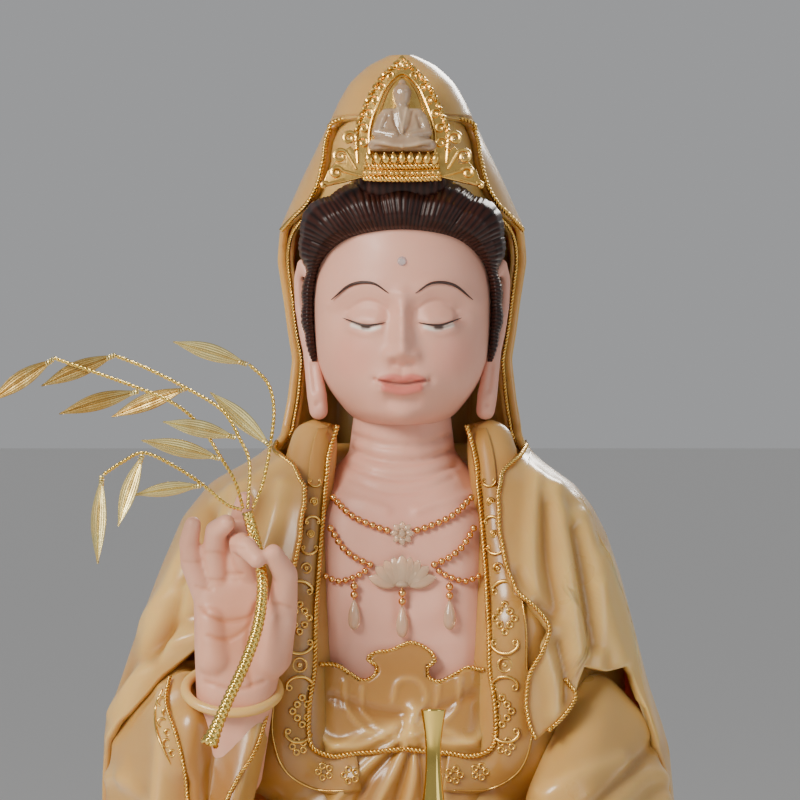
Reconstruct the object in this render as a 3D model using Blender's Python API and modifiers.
"""Seated figurine in a hooded mantle, with a gilt crown, bead necklaces, a small vase and a
gilt willow spray, on a lotus throne.

The front of the figurine faces -Y, its left side is +X, and Z is up. The origin is the middle
of the underside of the base. Lengths in the tables are millimetres, turned into metres by MM.
"""

import math

import bmesh
import bpy
from mathutils import Matrix, Vector
from mathutils.bvhtree import BVHTree

MM = 0.001

# --- Driving dimensions ------------------------------------------------------------------
BASE_HALF_WIDTH = 142 * MM
BASE_HALF_DEPTH = 103 * MM
SQUASH = BASE_HALF_DEPTH / BASE_HALF_WIDTH  # the base is an oval, turned round and then flattened
FELT_TOP = 1.5 * MM
PLINTH_TOP = 16 * MM
SEAT_TOP = 96 * MM
CLEARANCE = 0.3 * MM
CLOTH = 3.2 * MM  # wall of the mantle and of the veil under it
BEAD_RADIUS = 1.25 * MM
TRIM_RADIUS = 1.0 * MM
TWIG_RADIUS = 0.6 * MM
STEM_RADIUS = 2.2 * MM
ROD_RADIUS = 4 * MM
DOWEL_RADIUS = 4 * MM

# Height, half width, front and back of the mantle, with the angle from the front at which its
# edge lies. The edge runs outside the face and over the shoulders to a point on the chest.
MANTLE = (
    (457, 25.5, -18, 36, 70),
    (447, 30, -23, 41, 57),
    (434, 38, -24, 46, 50),
    (425, 41, -24, 48, 75),
    (410, 42, -24, 50, 76),
    (395, 40, -24, 50, 76),
    (380, 37.5, -23, 48, 76),
    (365, 39, -23, 46, 76),
    (352, 41, -25, 46, 74),
    (344, 46, -29, 47, 57),
    (338, 54, -35, 49, 37),
    (330, 62.5, -39, 51, 30),
    (320, 70, -43, 53, 27),
    (304, 77, -47, 56, 28),
    (292, 81, -49, 57, 33),
    (280, 85, -50, 58, 31),
    (268, 89, -50, 59, 27),
    (250, 95, -51, 61, 26),
    (200, 99, -51, 66, 26),
    (150, 101, -51, 71, 26),
    (100, 104, -51, 76, 26),
)
MANTLE_TOP = ((480, 6, 2, 14), (472, 17, -10, 25), (464, 22.5, -15, 31))
ARM_EDGE = ((-34, 311), (-44, 307), (-58, 294), (-71, 283), (-86, 270), (-97, 256), (-100, 252))
HEM_SIDE = 252  # the hem crosses each arm at this height
HEM_BACK = 104  # and reaches down to the seat behind
MANTLE_SHIFT = -5  # the raised arm pushes the hem this far to -X
SECTION_POWER = 2.4

# The veil under the mantle: height and the angle from the front at which its edge lies.
VEIL_EDGE = ((450, 16), (440, 36), (430, 49), (418, 55), (400, 58), (380, 58), (362, 62), (350, 66))

COLORS = {
    "jade": ((0.62, 0.44, 0.22), 0.28, 0.0),
    "skin": ((0.72, 0.42, 0.34), 0.4, 0.0),
    "hair": ((0.035, 0.012, 0.008), 0.35, 0.0),
    "gilt": ((0.85, 0.52, 0.16), 0.3, 1.0),
    "brass": ((0.86, 0.68, 0.25), 0.15, 1.0),
    "clear_stone": ((0.85, 0.78, 0.66), 0.1, 0.0),
    "rhinestone": ((0.9, 0.92, 0.95), 0.05, 0.0),
    "steel": ((0.55, 0.55, 0.55), 0.35, 1.0),
    "felt": ((0.08, 0.02, 0.02), 0.95, 0.0),
}


def start_empty_scene():
    for obj in list(bpy.data.objects):
        bpy.data.objects.remove(obj, do_unlink=True)
    parts = bpy.data.collections.new("figurine")
    cutters = bpy.data.collections.new("cutters")
    bpy.context.scene.collection.children.link(parts)
    bpy.context.scene.collection.children.link(cutters)
    return parts, cutters


PARTS, CUTTERS = start_empty_scene()


def make_materials():
    made = {}
    for name, (color, roughness, metallic) in COLORS.items():
        material = bpy.data.materials.new(name)
        material.use_nodes = True
        shader = material.node_tree.nodes["Principled BSDF"]
        shader.inputs["Base Color"].default_value = (*color, 1)
        shader.inputs["Roughness"].default_value = roughness
        shader.inputs["Metallic"].default_value = metallic
        made[name] = material
    return made


MATERIALS = make_materials()


# --- Helpers ----------------------------------------------------------------------------
def add_object(name, data, material, collection=PARTS):
    obj = bpy.data.objects.new(name, data)
    data.materials.append(MATERIALS[material])
    collection.objects.link(obj)
    return obj


def mesh_from(bm, name):
    mesh = bpy.data.meshes.new(name)
    bm.to_mesh(mesh)
    bm.free()
    return mesh


def evaluated_mesh(obj):
    bpy.context.view_layer.update()
    graph = bpy.context.evaluated_depsgraph_get()
    return bpy.data.meshes.new_from_object(obj.evaluated_get(graph))


def as_mesh_object(obj):
    """Turns a curve, or a mesh with modifiers, into a plain mesh object of the same name and place."""
    mesh = evaluated_mesh(obj)
    name, matrix, collection = obj.name, obj.matrix_world.copy(), obj.users_collection[0]
    bpy.data.objects.remove(obj, do_unlink=True)
    made = bpy.data.objects.new(name, mesh)
    made.matrix_world = matrix
    collection.objects.link(made)
    bm = bmesh.new()
    bm.from_mesh(mesh)
    bmesh.ops.remove_doubles(bm, verts=bm.verts, dist=0.01 * MM)
    bm.to_mesh(mesh)
    bm.free()
    return made


def lookup(table, height, column):
    """The value of a column at a height, straight between the rows of a table that runs downwards."""
    if height >= table[0][0]:
        return table[0][column]
    for upper, lower in zip(table, table[1:]):
        if height >= lower[0]:
            share = (upper[0] - height) / (upper[0] - lower[0])
            return upper[column] + (lower[column] - upper[column]) * share
    return table[-1][column]


def hull_of_balls(bm, balls):
    """Adds the convex hull of some balls, each (x, y, z, radius) in millimetres, to a bmesh."""
    local = bmesh.new()
    for x, y, z, radius in balls:
        place = Matrix.Translation(Vector((x, y, z)) * MM)
        bmesh.ops.create_icosphere(local, subdivisions=2, radius=radius * MM, matrix=place)
    hull = bmesh.ops.convex_hull(local, input=local.verts)
    inside = [g for g in hull["geom_interior"] if isinstance(g, bmesh.types.BMVert)]
    bmesh.ops.delete(local, geom=inside, context="VERTS")
    mesh = mesh_from(local, "hull")
    bm.from_mesh(mesh)
    bpy.data.meshes.remove(mesh)


def soft_body(name, groups, material, voxel, keep, smooth=6):
    """One rounded solid from hulls of balls: joined by a voxel remesh, smoothed and thinned out."""
    bm = bmesh.new()
    for balls in groups:
        hull_of_balls(bm, balls)
    obj = add_object(name, mesh_from(bm, name), material)
    remesh = obj.modifiers.new("join", "REMESH")
    remesh.mode = "VOXEL"
    remesh.voxel_size = voxel * MM
    soften = obj.modifiers.new("soften", "SMOOTH")
    soften.factor = 0.5
    soften.iterations = smooth
    thin = obj.modifiers.new("thin", "DECIMATE")
    thin.ratio = keep
    return as_mesh_object(obj)


def chain(*balls):
    """Hull groups that link each ball to the next, as in a limb."""
    return list(zip(balls, balls[1:]))


def both_sides(groups):
    """The hull groups with their mirror images."""
    mirrored = [[(-x, y, z, radius) for x, y, z, radius in balls] for balls in groups]
    return list(groups) + mirrored


def turned(name, profile, material, steps, squash=1.0, place=(0, 0, 0)):
    """A turned solid. The profile is (radius, height) in millimetres, from top to bottom outside.

    Squash flattens it front to back, outside the bolt hole and its recess.
    """
    bm = bmesh.new()
    corners = [bm.verts.new((r * MM, 0, z * MM)) for r, z in profile]
    for a, b in zip(corners, corners[1:]):
        bm.edges.new((a, b))
    if profile[0][0] > 0:
        bm.edges.new((corners[-1], corners[0]))
    obj = add_object(name, mesh_from(bm, name), material)
    screw = obj.modifiers.new("turn", "SCREW")
    screw.steps = screw.render_steps = steps
    screw.use_merge_vertices = True
    screw.merge_threshold = 0.01 * MM
    obj = as_mesh_object(obj)
    for vert in obj.data.vertices:
        if math.hypot(vert.co.x, vert.co.y) > 17 * MM:
            vert.co.y *= squash
    obj.data.shade_smooth()
    obj.data.set_sharp_from_angle(angle=math.radians(35))
    obj.location = Vector(place) * MM
    return obj


def wire(name, points, radius, material, swell=None, sides=6):
    """A round wire through points in metres. Swell gives each point's share of the radius."""
    curve = bpy.data.curves.new(name, "CURVE")
    curve.dimensions = "3D"
    curve.bevel_depth = radius
    curve.bevel_resolution = max(0, sides // 2 - 2)
    curve.use_fill_caps = True
    spline = curve.splines.new("POLY")
    spline.points.add(len(points) - 1)
    for i, point in enumerate(points):
        spline.points[i].co = (*point, 1)
        spline.points[i].radius = swell[i] if swell else 1
    return add_object(name, curve, material)


def plate(name, outline, thickness, material):
    """A flat plate of an outline of (x, y) in millimetres, closed, in the object's own XY plane."""
    curve = bpy.data.curves.new(name, "CURVE")
    curve.dimensions = "2D"
    curve.fill_mode = "BOTH"
    curve.extrude = thickness * MM / 2
    spline = curve.splines.new("POLY")
    spline.points.add(len(outline) - 1)
    for i, (x, y) in enumerate(outline):
        spline.points[i].co = (x * MM, y * MM, 0, 1)
    spline.use_cyclic_u = True
    return add_object(name, curve, material)


def smooth_path(points, count):
    """Evenly numbered points on a smooth curve through the given points."""
    points = [Vector(p) for p in points]
    path = [points[0] * 2 - points[1], *points, points[-1] * 2 - points[-2]]
    spans = len(points) - 1
    made = []
    for i in range(count):
        at = i / (count - 1) * spans
        k = min(int(at), spans - 1)
        t = at - k
        a, b, c, d = path[k : k + 4]
        bend = (a * 2 - b * 5 + c * 4 - d) * t * t
        twist = (b * 3 - a - c * 3 + d) * t * t * t
        made.append((b * 2 + (c - a) * t + bend + twist) / 2)
    return made


def swollen(obj, gap):
    """A hidden copy of a solid, thicker by gap all round, for cutting its neighbours."""
    copy = obj.copy()
    copy.data = obj.data.copy()
    copy.name = "room_for_" + obj.name
    CUTTERS.objects.link(copy)
    copy.hide_render = True
    copy.display_type = "WIRE"
    grow = copy.modifiers.new("grow", "DISPLACE")
    grow.strength = gap
    grow.mid_level = 0
    return copy


def make_room(target, neighbours, gap=CLEARANCE):
    """Cuts each neighbour, with its clearance, out of the target, and keeps the target's main piece."""
    for neighbour in neighbours:
        cut = target.modifiers.new("room", "BOOLEAN")
        cut.operation = "DIFFERENCE"
        cut.solver = "EXACT"
        cut.object = swollen(neighbour, gap)
    made = as_mesh_object(target)
    keep_largest(made.data)
    return made


def keep_largest(mesh):
    """Removes the crumbs that a cut leaves beside the main piece."""
    bm = bmesh.new()
    bm.from_mesh(mesh)
    bmesh.ops.dissolve_degenerate(bm, dist=0.002 * MM, edges=bm.edges)
    bmesh.ops.triangulate(bm, faces=bm.faces)
    left = set(bm.verts)
    islands = []
    while left:
        island, edge_of_island = set(), [left.pop()]
        while edge_of_island:
            vert = edge_of_island.pop()
            island.add(vert)
            for edge in vert.link_edges:
                other = edge.other_vert(vert)
                if other in left:
                    left.remove(other)
                    edge_of_island.append(other)
        islands.append(island)
    islands.sort(key=len)
    for island in islands[:-1]:
        bmesh.ops.delete(bm, geom=list(island), context="VERTS")
    bm.to_mesh(mesh)
    bm.free()


def surface_finder(*objects):
    """A function that gives the front-most point of some solids at (x, z), looking along +Y."""
    trees = []
    for obj in objects:
        mesh = obj.data
        points = [obj.matrix_world @ v.co for v in mesh.vertices]
        trees.append(BVHTree.FromPolygons(points, [tuple(p.vertices) for p in mesh.polygons]))

    def find(x, z):
        start = Vector((x, -1, z))
        hits = [tree.ray_cast(start, Vector((0, 1, 0)))[0] for tree in trees]
        return min((hit.y for hit in hits if hit), default=0)

    return find


def kept_clear(path, distance, *objects):
    """Brings the points of a path forward until all of it is the distance away from some solids."""
    trees = []
    for obj in objects:
        points = [obj.matrix_world @ v.co for v in obj.data.vertices]
        trees.append(BVHTree.FromPolygons(points, [tuple(p.vertices) for p in obj.data.polygons]))
    path = [Vector(p) for p in path]

    def too_close(point):
        for tree in trees:
            near, normal, _, gap = tree.find_nearest(point)
            if gap < distance or (gap < 4 * distance and (point - near).dot(normal) < 0):
                return True
        return False

    for _ in range(30):
        middles = [too_close((a + b) / 2) for a, b in zip(path, path[1:])]
        for i, point in enumerate(path):
            if too_close(point) or any(middles[max(0, i - 1) : i + 1]):
                point.y -= 0.2 * MM
    return path


def clear_depth(find, x, z, half_x, half_z):
    """The y in front of a surface under a flat piece with this middle and half size, millimetres."""
    steps = (-1, -0.5, 0, 0.5, 1)
    return min(find((x + i * half_x) * MM, (z + j * half_z) * MM) for i in steps for j in steps) / MM


def laid_on(find, outline, count, stand_off):
    """A path over a surface: outline is (x, z) in millimetres, as seen from the front."""
    flat = smooth_path([(x * MM, 0, z * MM) for x, z in outline], count)
    heights = [find(p.x, p.z) for p in flat]
    last = len(flat) - 1
    laid = []
    for i, point in enumerate(flat):
        nearest = min(heights[max(0, i - 1) : min(last, i + 1) + 1])
        laid.append(Vector((point.x, nearest - stand_off, point.z)))
    return laid


# --- The base ---------------------------------------------------------------------------
def make_base():
    half = BASE_HALF_WIDTH / MM
    hole = ROD_RADIUS / MM + 0.4
    felt_top, plinth_top, seat = FELT_TOP / MM, PLINTH_TOP / MM, SEAT_TOP / MM
    turned("felt_pad", ((0, felt_top), (half - 3, felt_top), (half - 3, 0), (0, 0)), "felt", 32, SQUASH)
    plinth = (
        (hole, plinth_top), (half - 7, plinth_top), (half - 1, plinth_top - 4), (half, plinth_top - 8),
        (half, felt_top + 0.3), (16, felt_top + 0.3), (16, 10), (hole, 10),
    )
    turned("plinth", plinth, "jade", 32, SQUASH)
    bottom = plinth_top + 0.3
    throne = (
        (hole, seat), (118, seat), (124, seat - 3), (128, seat - 9), (127, seat - 20), (120, seat - 30),
        (112, 58), (108, 52), (112, 47), (124, 40), (133, 31), (136, 22), (133, bottom), (hole, bottom),
    )
    obj = turned("lotus_throne", throne, "jade", 42, SQUASH)
    petals = 14
    for vert in obj.data.vertices:
        radius = math.hypot(vert.co.x, vert.co.y / SQUASH)
        if radius < 105 * MM or abs(vert.co.z - 52 * MM) > 42 * MM:
            continue
        turn = math.atan2(vert.co.y / SQUASH, vert.co.x)
        share = 1 - 0.02 * (1 - abs(math.cos(turn * petals / 2)))
        vert.co.x *= share
        vert.co.y *= share


def make_tie_rod():
    """The rod that holds the figure to its throne, with a washer and nut in the plinth's recess."""
    rod = ROD_RADIUS / MM
    turned("tie_rod", ((0, 175), (rod, 175), (rod, 3), (0, 3)), "steel", 16)
    turned("tie_washer", ((rod + 0.3, 9.6), (12, 9.6), (12, 8), (rod + 0.3, 8)), "steel", 20)
    nut = ((rod + 1, 7.7), (7.5, 7.7), (7.5, 3.5), (rod + 1, 3.5))
    turned("tie_nut", nut, "steel", 6)
    hole = turned("rod_hole", ((0, 176), (rod + 0.4, 176), (rod + 0.4, 80), (0, 80)), "steel", 16)
    hole.hide_render = True
    PARTS.objects.unlink(hole)
    CUTTERS.objects.link(hole)
    return hole


# --- The mantle and the veil ------------------------------------------------------------
def section_point(height, angle, inset=0.0):
    """A point on the mantle's outer face, moved in by inset. The angle runs from the front, in radians."""
    half = lookup(MANTLE, height, 1) - inset
    front = lookup(MANTLE, height, 2) + inset
    back = lookup(MANTLE, height, 3) - inset
    if height > MANTLE[0][0]:
        table = (*MANTLE_TOP, MANTLE[0][:4])
        half = lookup(table, height, 1) - inset
        front = lookup(table, height, 2) + inset
        back = lookup(table, height, 3) - inset
    side, ahead = math.sin(angle), math.cos(angle)
    reach = (abs(side) ** SECTION_POWER + abs(ahead) ** SECTION_POWER) ** (-1 / SECTION_POWER)
    low = min(1, max(0, (330 - height) / 80))
    x = half * side * reach + MANTLE_SHIFT * low
    y = (front + back) / 2 - (back - front) / 2 * ahead * reach
    return Vector((x, y, height)) * MM


def mantle_height(share_round, share_down):
    """The height on the mantle: share_round is 0 at the back and 1 at an edge, share_down 0 to 1."""
    blend = min(1, max(0, (share_round - 0.25) / 0.3))
    blend = blend * blend * (3 - 2 * blend)
    hem = HEM_BACK + (HEM_SIDE - HEM_BACK) * blend
    rows = [row[0] for row in MANTLE if row[0] > HEM_SIDE] + [HEM_SIDE]
    at = share_down * (len(rows) - 1)
    k = min(int(at), len(rows) - 2)
    plain = rows[k] + (rows[k + 1] - rows[k]) * (at - k)
    top = rows[0]
    return top - (top - plain) * (top - hem) / (top - HEM_SIDE)


def mantle_point(turn, share_down, inset=0.0):
    """Turn runs from -1 at one front edge, round the back at 0, to 1 at the other."""
    height = mantle_height(abs(turn), share_down)
    edge = math.radians(lookup(MANTLE, mantle_height(1, share_down), 4))
    return section_point(height, math.pi - turn * (math.pi - edge), inset)


def make_mantle():
    columns, rows, front_columns = 24, 17, 8
    bm = bmesh.new()
    bmesh.ops.create_grid(bm, x_segments=columns, y_segments=rows, size=1)
    for vert in bm.verts:
        vert.co = mantle_point(vert.co.x, (1 - vert.co.y) / 2)
    edge = math.radians(MANTLE[0][4])
    round_angles = [math.pi - (2 * i / columns - 1) * (math.pi - edge) for i in range(columns + 1)]
    front_angles = [2 * edge * i / front_columns - edge for i in range(1, front_columns)]
    angles = round_angles[::-1] + front_angles
    lid_heights = [MANTLE[0][0]] + [row[0] for row in reversed(MANTLE_TOP)]
    loops = [[bm.verts.new(section_point(z, a)) for a in angles] for z in lid_heights]
    for below, above in zip(loops, loops[1:]):
        for i in range(len(angles)):
            j = (i + 1) % len(angles)
            bm.faces.new((below[i], below[j], above[j], above[i]))
    bm.faces.new(loops[-1])
    bmesh.ops.remove_doubles(bm, verts=bm.verts, dist=0.05 * MM)
    bmesh.ops.recalc_face_normals(bm, faces=bm.faces)
    obj = add_object("mantle", mesh_from(bm, "mantle"), "jade")
    wall = obj.modifiers.new("wall", "SOLIDIFY")
    wall.thickness = CLOTH
    wall.offset = -1
    opening = plate("arm_opening", [*ARM_EDGE, (-120, 240), (-120, 100), (-15, 100), (-15, 311)], 70, "jade")
    opening.rotation_euler.x = math.radians(90)
    opening.location.y = -39 * MM
    opening = as_mesh_object(opening)
    opening.hide_render = True
    PARTS.objects.unlink(opening)
    CUTTERS.objects.link(opening)
    cut = obj.modifiers.new("arm_opening", "BOOLEAN")
    cut.solver = "EXACT"
    cut.object = opening
    obj = as_mesh_object(obj)
    obj.data.shade_smooth()
    return obj


def make_under_veil():
    """The inner veil that frames the face, close inside the mantle's hood."""
    thickness, gap = 2 * MM, 1.9 * MM
    top, bottom = VEIL_EDGE[0][0], VEIL_EDGE[-1][0]
    heights = [top] + [row[0] for row in MANTLE if bottom < row[0] < top] + [bottom]
    bm = bmesh.new()
    bmesh.ops.create_grid(bm, x_segments=22, y_segments=len(heights) - 1, size=1)
    for vert in bm.verts:
        height = heights[round((1 - vert.co.y) / 2 * (len(heights) - 1))]
        edge = math.radians(lookup(VEIL_EDGE, height, 1))
        vert.co = section_point(height, math.pi - vert.co.x * (math.pi - edge))
    bm.normal_update()
    obj = add_object("under_veil", mesh_from(bm, "under_veil"), "jade")
    wall = obj.modifiers.new("wall", "SOLIDIFY")
    wall.thickness = thickness
    middle = CLOTH + gap + thickness / 2
    wall.offset = 2 * middle / thickness
    obj = as_mesh_object(obj)
    obj.data.shade_smooth()
    return obj


# --- Soft forms: robe, sleeves, head, hands -----------------------------------------------
def make_robe_body(rod_hole):
    torso = [
        [(0, 20, 135, 50), (0, 14, 215, 42)],
        [(0, 14, 215, 42), (-38, 12, 300, 26), (38, 12, 300, 26)],
        [(-38, 12, 300, 26), (38, 12, 300, 26), (0, 14, 322, 20)],
        [(-20, -6, 300, 24), (20, -6, 300, 24), (-22, -8, 240, 26), (22, -8, 240, 26)],
    ]
    legs = both_sides([
        [(26, 22, 128, 36), (94, -34, 120, 27)],
        [(94, -34, 120, 27), (20, -60, 112, 20)],
    ])
    lap = [[(-60, -40, 116, 22), (60, -40, 116, 22), (0, 20, 125, 34)]]
    skirt = [[(-95, 30, 104, 12), (95, 30, 104, 12), (0, 62, 110, 14), (0, -40, 108, 14)]]
    collars = both_sides([[(31, 4, 300, 14), (29.5, 3, 346, 6.5)]])
    obj = soft_body("robe_body", torso + collars + legs + lap + skirt, "jade", 6, 0.09)
    seat = bpy.data.meshes.new("seat_cut")
    bm = bmesh.new()
    bmesh.ops.create_cube(bm, size=1)
    bmesh.ops.transform(bm, matrix=Matrix.Diagonal((0.5, 0.5, 0.1, 1)), verts=bm.verts)
    bm.to_mesh(seat)
    bm.free()
    cutter = bpy.data.objects.new("seat_cut", seat)
    cutter.location.z = SEAT_TOP + CLEARANCE - 0.05
    cutter.hide_render = True
    cutter.display_type = "WIRE"
    CUTTERS.objects.link(cutter)
    for other in (cutter, rod_hole):
        cut = obj.modifiers.new("seat", "BOOLEAN")
        cut.solver = "EXACT"
        cut.object = other
    return as_mesh_object(obj)


def make_sleeves():
    right = [
        [(-82, 2, 232, 16), (-80, -6, 205, 22)],
        [(-80, -6, 205, 22), (-60, -46, 252, 17)],
        [(-60, -46, 252, 17), (-64, -58, 205, 12), (-80, -20, 190, 16)],
        [(-64, -58, 205, 12), (-80, -58, 160, 9), (-92, -20, 165, 12), (-80, -20, 190, 16)],
    ]
    left = [
        [(80, 2, 232, 14), (76, -8, 212, 22)],
        [(76, -8, 212, 22), (44, -58, 208, 17)],
        [(44, -58, 208, 17), (56, -62, 170, 10), (80, -20, 190, 16)],
        [(56, -62, 170, 10), (80, -56, 158, 8), (90, -18, 165, 12), (80, -20, 190, 16)],
    ]
    made = []
    for name, groups in (("right_sleeve", right), ("left_sleeve", left)):
        made.append(soft_body(name, groups, "jade", 3.6, 0.13))
    return made


def make_chest():
    groups = chain((0, 2, 360, 17), (0, 3, 338, 19), (0, 2, 322, 24))
    groups.append([(-16, -10, 318, 15), (16, -10, 318, 15), (-15, -14, 284, 13), (15, -14, 284, 13)])
    groups.append([(0, 3, 338, 19), (-16, -10, 318, 15), (16, -10, 318, 15)])
    return soft_body("chest_and_neck", groups, "skin", 2.8, 0.16)


def make_chest_wrap():
    groups = [[(-15, -20, 266, 11), (15, -20, 266, 11), (-16, -23, 240, 13), (16, -23, 240, 13)]]
    return soft_body("chest_wrap", groups, "jade", 2.5, 0.22)


def make_head():
    groups = [
        [(0, 6, 415, 30), (0, -4, 402, 30)],
        [(0, -4, 402, 30), (0, -16, 373, 16), (-11, -6, 378, 17), (11, -6, 378, 17)],
        [(0, -32, 392, 3), (0, -38, 384, 3)],
    ]
    ears = both_sides([[(31, 0, 398, 3), (30.5, 0, 384, 2.6)], [(30.5, 0, 384, 2.6), (30, -1, 364, 3.2)]])
    return soft_body("head", groups + ears, "skin", 2.2, 0.085)


def make_hair():
    roll = chain((-31, -8, 416, 5), (-25, -22, 427, 8), (0, -30, 431, 8), (25, -22, 427, 8), (31, -8, 416, 5))
    locks = both_sides([[(31, -8, 416, 5), (32, -8, 384, 1.8)]])
    crown = [[(0, -22, 434, 8), (0, 4, 424, 20), (-19, -12, 427, 7), (19, -12, 427, 7)]]
    return soft_body("hair", roll + locks + crown, "hair", 2, 0.12, smooth=3)


def make_right_hand():
    palm = [
        [(-56, -40, 243, 9.5), (-54.5, -47, 268, 9.5)],
        [(-54.5, -47, 268, 9.5), (-64, -49, 284, 6), (-44, -50, 284, 7)],
        [(-64, -49, 284, 6), (-44, -50, 284, 7), (-65, -49, 301, 5), (-48, -49, 304, 5)],
    ]
    fingers = [
        chain((-65.5, -49, 300, 4), (-69.3, -51, 312, 3.6), (-67.4, -54, 323, 3)),
        chain((-60, -49, 303, 4.4), (-61.5, -53, 318, 4), (-57, -60, 326, 3.2)),
        chain((-54, -49, 305, 4.4), (-53, -50, 320, 4), (-51.6, -52, 332, 3.2)),
        chain((-48.5, -49, 305, 4.4), (-52, -59, 319, 4), (-47, -68, 313, 3.4)),
        chain((-42, -49, 280, 7), (-38.5, -56, 298, 5), (-38, -64, 309, 4), (-42.5, -68, 315.5, 3.4)),
    ]
    return soft_body("right_hand", palm + sum(fingers, []), "skin", 1.6, 0.13, smooth=2)


def make_left_hand():
    palm = [
        [(52, -48, 205, 9), (36, -62, 200, 9)],
        [(36, -62, 200, 9), (20, -64, 188, 7), (22, -78, 188, 7)],
        [(20, -64, 188, 7), (22, -78, 188, 7), (4, -62, 186, 5), (4, -80, 186, 5)],
    ]
    fingers = [chain((6, -62 - 6 * i, 186, 4), (-6, -62 - 6 * i, 187, 3.6), (-13, -63 - 5 * i, 194, 3)) for i in range(4)]
    thumb = chain((26, -80, 190, 6), (18, -89, 200, 4), (10, -90, 207, 3.4))
    return soft_body("left_hand", palm + sum(fingers, []) + thumb, "skin", 2, 0.14, smooth=2)


# --- Small turned and wire pieces ---------------------------------------------------------
VASE_AXIS = (10, -72)
VASE_FOOT = 196


def make_vase():
    profile = (
        (0, 263.4), (2.6, 264), (3.4, 265), (4.1, 265), (4, 263.5), (2.9, 257), (2.5, 250), (3, 241),
        (4.5, 232), (8.5, 226), (12, 219), (13, 213), (11.5, 206), (7.5, 200.5), (6, 199), (8, 196.3),
        (8, VASE_FOOT), (0, VASE_FOOT),
    )
    return turned("vase", profile, "brass", 18, place=(*VASE_AXIS, 0))


def make_bangle():
    bm = bmesh.new()
    bmesh.ops.create_circle(bm, segments=8, radius=1.6 * MM)
    mesh = mesh_from(bm, "ring")
    bpy.data.meshes.remove(mesh)
    rings, sides, major, minor = 24, 8, 15.2 * MM, 1.7 * MM
    path = []
    for i in range(rings):
        turn = 2 * math.pi * i / rings
        path.append(Vector((math.cos(turn) * major, math.sin(turn) * major * 0.86, 0)))
    obj = wire("right_bangle", path, minor, "jade", sides=sides)
    obj.data.splines[0].use_cyclic_u = True
    obj.data.use_fill_caps = False
    obj.rotation_euler = (math.radians(32), 0, math.radians(4))
    obj.location = Vector((-55.5, -47, 270)) * MM
    return as_mesh_object(obj)


STEM_PATH = ((-62, -74, 254), (-56, -73, 268), (-50.5, -71, 280), (-46.5, -68, 292), (-45.2, -64.5, 304),
             (-46.2, -62.5, 313), (-48.4, -62, 322), (-50, -62, 328))
TWIG_PATHS = (
    ((-48.4, -60.8, 329.4), (-45, -61, 338), (-42.4, -60, 352), (-41.6, -60, 362), (-43.6, -61, 370), (-49.5, -62, 376)),
    ((-50, -62.9, 329.4), (-49.4, -64, 344), (-52.5, -65, 352), (-58, -66, 361), (-69, -67, 368), (-83, -68, 375),
     (-93, -68, 379)),
    ((-51.5, -61, 329.4), (-54, -64, 338), (-58, -66, 345), (-65, -68, 356), (-73, -70, 363), (-84, -72, 368),
     (-99, -74, 373.5), (-112, -74, 378)),
    ((-52, -64.6, 329), (-57, -68, 331), (-64, -70, 337), (-73, -72, 343), (-83, -74, 347.5), (-90, -75, 344.5),
     (-96, -76, 340.5)),
)
# Each leaf: the twig it grows from, the end it is fixed by, its tip, and its width.
LEAVES = (
    ((-50, -63.5, 376), (-74, -66, 383.3), 6),
    ((-42.6, -62, 349.5), (-62, -66, 367), 6),
    ((-53.6, -67.2, 352.4), (-77, -72, 357.5), 6),
    ((-69.5, -65.4, 368.4), (-94, -63, 359), 6),
    ((-92.5, -69.8, 379), (-116, -74, 369), 6),
    ((-58.6, -67.6, 345.6), (-84, -71, 351.5), 6),
    ((-84.6, -73.8, 367.4), (-110, -78, 360), 6),
    ((-112, -75.8, 377.6), (-132, -79, 364), 6),
    ((-64.6, -71.8, 337), (-86, -75, 334), 5),
    ((-83.4, -76, 347), (-91, -80, 324), 5.6),
    ((-96.4, -77.6, 340.2), (-97.5, -81, 312), 5.4),
)


def scaled(points):
    return [Vector(p) * MM for p in points]


def make_willow():
    stem = smooth_path(scaled(STEM_PATH), 16)
    swell = [1.7 if i == 0 else 1.15 if i == 1 else 1 for i in range(len(stem))]
    made = [wire("willow_stem", stem, STEM_RADIUS, "brass", swell, sides=8)]
    for i, path in enumerate(TWIG_PATHS):
        points = smooth_path(scaled(path), 10)
        made.append(wire(f"willow_twig_{i + 1}", points, TWIG_RADIUS, "brass"))
    for i, (root, tip, width) in enumerate(LEAVES):
        made.append(make_leaf(f"willow_leaf_{i + 1}", Vector(root) * MM, Vector(tip) * MM, width))
    return made


def make_leaf(name, root, tip, width):
    length = (tip - root).length / MM
    steps = 5
    upper = [(length * i / steps, width / 2 * math.sin(math.pi * (i / steps) ** 0.8) + 0.35) for i in range(steps + 1)]
    outline = upper + [(x, -y) for x, y in reversed(upper)]
    leaf = plate(name, outline, 0.5, "brass")
    along = (tip - root).normalized()
    across = Vector((0, -1, 0)).cross(along).normalized()
    facing = along.cross(across)
    turn = Matrix((along, across, facing)).transposed().to_4x4()
    leaf.matrix_world = Matrix.Translation(root) @ turn
    return leaf


def beaded(name, find, ground, outline, beads):
    """A string of beads laid on the chest: one solid, thick at each bead and thin between."""
    stand_off = BEAD_RADIUS + 0.4 * MM
    path = laid_on(find, outline, beads * 3 + 1, stand_off)
    path = kept_clear(path, stand_off, *ground)
    swell = [0.42 if i % 3 == 0 else 0.98 for i in range(len(path))]
    return wire(name, path, BEAD_RADIUS, "gilt", swell, sides=6)


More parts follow.
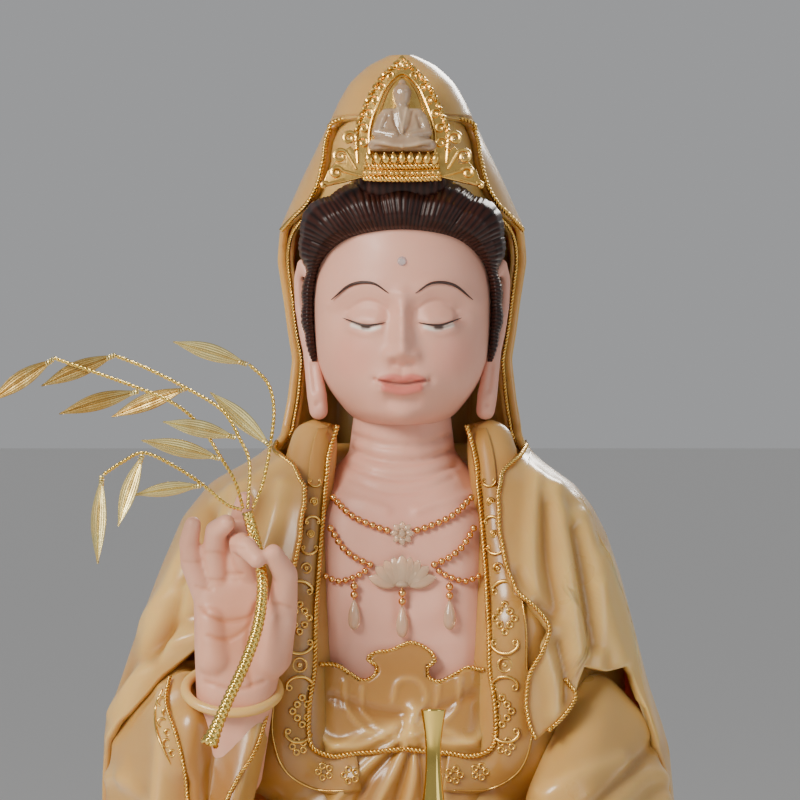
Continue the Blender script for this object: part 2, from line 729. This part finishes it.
def make_jewellery(chest, robe):
    find = surface_finder(chest, robe)
    ground = (chest, robe)
    for side, label in ((-1, "right"), (1, "left")):
        upper = [(23 * side, 333), (16 * side, 327), (8 * side, 323), (5 * side, 322.6)]
        lower = [(23.5 * side, 322), (19.5 * side, 316), (14 * side, 311.8), (11.6 * side, 310.8)]
        swag = [(24.6 * side, 307.4), (19.5 * side, 305), (16 * side, 305.4), (12.4 * side, 308.2)]
        beaded(f"upper_strand_{label}", find, ground, upper, 9)
        beaded(f"lower_strand_{label}", find, ground, lower, 8)
        beaded(f"swag_strand_{label}", find, ground, swag, 6)
    for x, z, label in ((-16.2, 303, "right"), (0, 300, "middle"), (16.2, 303, "left")):
        y = clear_depth(find, x, z - 8, 2.5, 9) - 2.8
        beads = ((0, 0.8), (1, 0.3), (1.3, -0.9), (1, -2.1), (0.5, -2.4), (1.1, -3), (1.3, -4), (0.9, -5), (0, -5.4))
        turned(f"drop_beads_{label}", beads, "gilt", 8, place=(x, y, z))
        stone = ((0, -5.8), (0.5, -6), (1, -9), (2, -12.5), (2.2, -14), (1.5, -15.6), (0, -16.2))
        turned(f"drop_stone_{label}", stone, "clear_stone", 10, place=(x, y, z))
    flower_y = clear_depth(find, 0, 321.6, 4.5, 4.5) - 1.5
    flower = [(rosette(turn, 5, 0.82, 4.2)) for turn in range(20)]
    obj = plate("necklace_flower", flower, 2, "clear_stone")
    obj.rotation_euler.x = math.radians(90)
    obj.location = Vector((0, flower_y, 321.6)) * MM
    pendant = [(-10.5, 0), (-8.5, 2.5), (-6.5, 2), (-5, 5), (-2.6, 4.2), (0, 6.4), (2.6, 4.2), (5, 5), (6.5, 2),
               (8.5, 2.5), (10.5, 0), (8, -3.6), (4, -5), (-4, -5), (-8, -3.6)]
    obj = plate("lotus_pendant", pendant, 2.4, "clear_stone")
    obj.rotation_euler.x = math.radians(90)
    obj.location = Vector((0, clear_depth(find, 0, 308, 10.5, 6) - 1.7, 307.6)) * MM


def rosette(step, petals, waist, radius):
    turn = 2 * math.pi * step / 20
    reach = radius * (waist + (1 - waist) * abs(math.cos(petals * turn / 2)))
    return reach * math.cos(turn), reach * math.sin(turn)


# --- Crown ------------------------------------------------------------------------------
CROWN_FOOT = (0, -34.5, 437)
CROWN_LEAN = math.radians(14)


def crown_place(obj, x=0, up=0, ahead=0):
    """Puts a flat piece of the crown, drawn in its own XY plane, on the leaning plane of the crown."""
    lean = Matrix.Rotation(math.pi / 2 - CROWN_LEAN, 4, "X")
    obj.matrix_world = Matrix.Translation(Vector(CROWN_FOOT) * MM) @ lean @ Matrix.Translation(Vector((x, up, ahead)) * MM)


def make_crown():
    half = ((0, 41.5), (3.5, 38.5), (7.5, 34), (10, 29), (13, 23), (15.2, 16), (15, 8.5), (17, 11), (19, 9.5),
            (18.5, 5), (22, 5.5), (24.5, 2.5), (26.5, -3), (20, -1.5), (12, 0.5), (0, 1))
    outline = list(half) + [(-x, y) for x, y in half[-2:0:-1]]
    frame = plate("crown_frame", outline, 2.4, "gilt")
    crown_place(frame)
    band = [(-13, 0), (13, 0), (14, 2.5), (13, 5), (13.6, 7.5), (12.6, 9.4), (-12.6, 9.4), (-13.6, 7.5), (-13, 5), (-14, 2.5)]
    rows = plate("crown_band", band, 2.6, "gilt")
    crown_place(rows, up=-0.5, ahead=2.9)
    groups = [
        [(-8, 11, 2.6, 1.9), (8, 11, 2.6, 1.9), (-7, 13, 2.8, 1.9), (7, 13, 2.8, 1.9)],
        [(-6, 19, 2.6, 1.9), (6, 19, 2.6, 1.9), (-5.4, 12.6, 2.8, 2), (5.4, 12.6, 2.8, 2)],
        [(0, 24.5, 2.8, 2), (0, 28, 2.8, 2.4), (0, 18, 2.8, 2)],
    ]
    cameo = soft_body("crown_cameo", groups, "clear_stone", 0.8, 0.3, smooth=2)
    crown_place(cameo, up=0.2, ahead=2)
    bpy.context.view_layer.update()
    return [as_mesh_object(frame), as_mesh_object(rows), as_mesh_object(cameo)]


# --- Trims ------------------------------------------------------------------------------
COLLAR_EDGE = ((24.6, 344), (24.8, 336), (25.4, 320), (27, 300), (28.2, 278), (29, 262), (28, 250), (22, 245), (15, 245.5))


def make_trims(mantle, veil, chest, wrap, robe):
    find = surface_finder(chest, wrap, robe)
    around = (mantle, veil, chest, wrap, robe)
    gap = TRIM_RADIUS + 0.4 * MM
    for side, label in ((-1, "right"), (1, "left")):
        edge = []
        for i in range(33):
            here = mantle_point(side * 0.985, i / 32)
            out = (here - mantle_point(side * 0.985, i / 32, 1)).normalized()
            edge.append(here + out * (gap + 0.3 * MM))
        if side < 0:
            inner = [(x + 0.6, z + 1.8) for x, z in ARM_EDGE[1:-1]]
            over_arm = laid_on(surface_finder(mantle), inner, 14, gap)
            edge = [p for p in edge if p.z > ARM_EDGE[0][1] * MM] + over_arm
        wire(f"mantle_trim_{label}", edge, TRIM_RADIUS, "gilt")
        collar = laid_on(find, [(x * side, z) for x, z in COLLAR_EDGE], 18, gap)
        wire(f"collar_trim_{label}", kept_clear(collar, gap, *around), TRIM_RADIUS, "gilt")
    hem = [(-26, 277.6), (-20, 276.5), (-13, 272.6), (-9.5, 273.6), (-9, 278), (0, 283), (9, 278), (9.5, 273.6),
           (13, 272.6), (20, 276.5), (26, 277.6)]
    laid = laid_on(find, hem, 24, gap)
    wire("wrap_trim", kept_clear(laid, gap, chest, wrap, robe), TRIM_RADIUS, "gilt")


def make_sleeve_trim(sleeve, mantle):
    outline = ((-70, 262), (-72, 255), (-71.5, 247), (-70, 236), (-68, 224), (-66, 210))
    gap = TRIM_RADIUS + 0.4 * MM
    laid = laid_on(surface_finder(sleeve), outline, 20, gap)
    wire("sleeve_trim", kept_clear(laid, gap, sleeve, mantle), TRIM_RADIUS, "gilt")


def make_forehead_stone(find):
    x, z = 0, 410
    y = clear_depth(find, x, z, 1.2, 1.2)
    stone = ((0, 1), (0.7, 0.9), (1.2, 0.3), (1.2, 0), (0, 0))
    obj = turned("forehead_stone", stone, "rhinestone", 8)
    obj.rotation_euler.x = math.radians(90)
    obj.location = Vector((x, y - 0.35, z)) * MM


def main():
    make_base()
    rod_hole = make_tie_rod()
    mantle = make_mantle()
    veil = make_under_veil()
    robe = make_robe_body(rod_hole)
    right_sleeve, left_sleeve = make_sleeves()
    chest = make_chest()
    wrap = make_chest_wrap()
    head = make_head()
    hair = make_hair()
    right_hand = make_right_hand()
    left_hand = make_left_hand()
    vase = make_vase()
    bangle = make_bangle()
    willow = make_willow()
    crown, band, cameo = make_crown()
    dowel = turned("neck_dowel", ((0, 380), (4, 380), (4, 346), (0, 346)), "steel", 12, place=(0, 2, 0))
    bpy.context.view_layer.update()

    stem = as_mesh_object(willow[0])
    hair = make_room(hair, [veil, mantle], 1.3 * MM)
    veil = make_room(veil, [hair], 0.5 * MM)
    finger_room = 0.5 * MM
    robe = make_room(robe, [mantle, veil, chest, wrap, right_sleeve, left_sleeve, right_hand, left_hand])
    make_room(right_sleeve, [mantle, right_hand, bangle, stem])
    make_room(left_sleeve, [mantle, left_hand])
    make_room(left_hand, [vase])
    make_room(right_hand, [stem, bangle], finger_room)
    chest = make_room(chest, [dowel, wrap, mantle])
    head = make_room(head, [hair, veil, chest_raw_neck(), dowel], 0.5 * MM)
    make_room(crown, [bpy.data.objects["hair"], mantle, veil])
    make_room(band, [crown_copy()])
    make_room(cameo, [bpy.data.objects["crown_frame"], bpy.data.objects["crown_band"]])
    bpy.context.view_layer.update()

    make_trims(mantle, veil, chest, wrap, robe)
    make_jewellery(chest, robe)
    make_sleeve_trim(bpy.data.objects["right_sleeve"], mantle)
    make_forehead_stone(surface_finder(bpy.data.objects["head"]))


def chest_raw_neck():
    """The neck alone, for the socket under the head."""
    neck = soft_body("neck_form", chain((0, 2, 360, 17), (0, 3, 338, 19)), "skin", 2.5, 0.3)
    PARTS.objects.unlink(neck)
    CUTTERS.objects.link(neck)
    neck.hide_render = True
    return neck


def crown_copy():
    return bpy.data.objects["crown_frame"]


main()
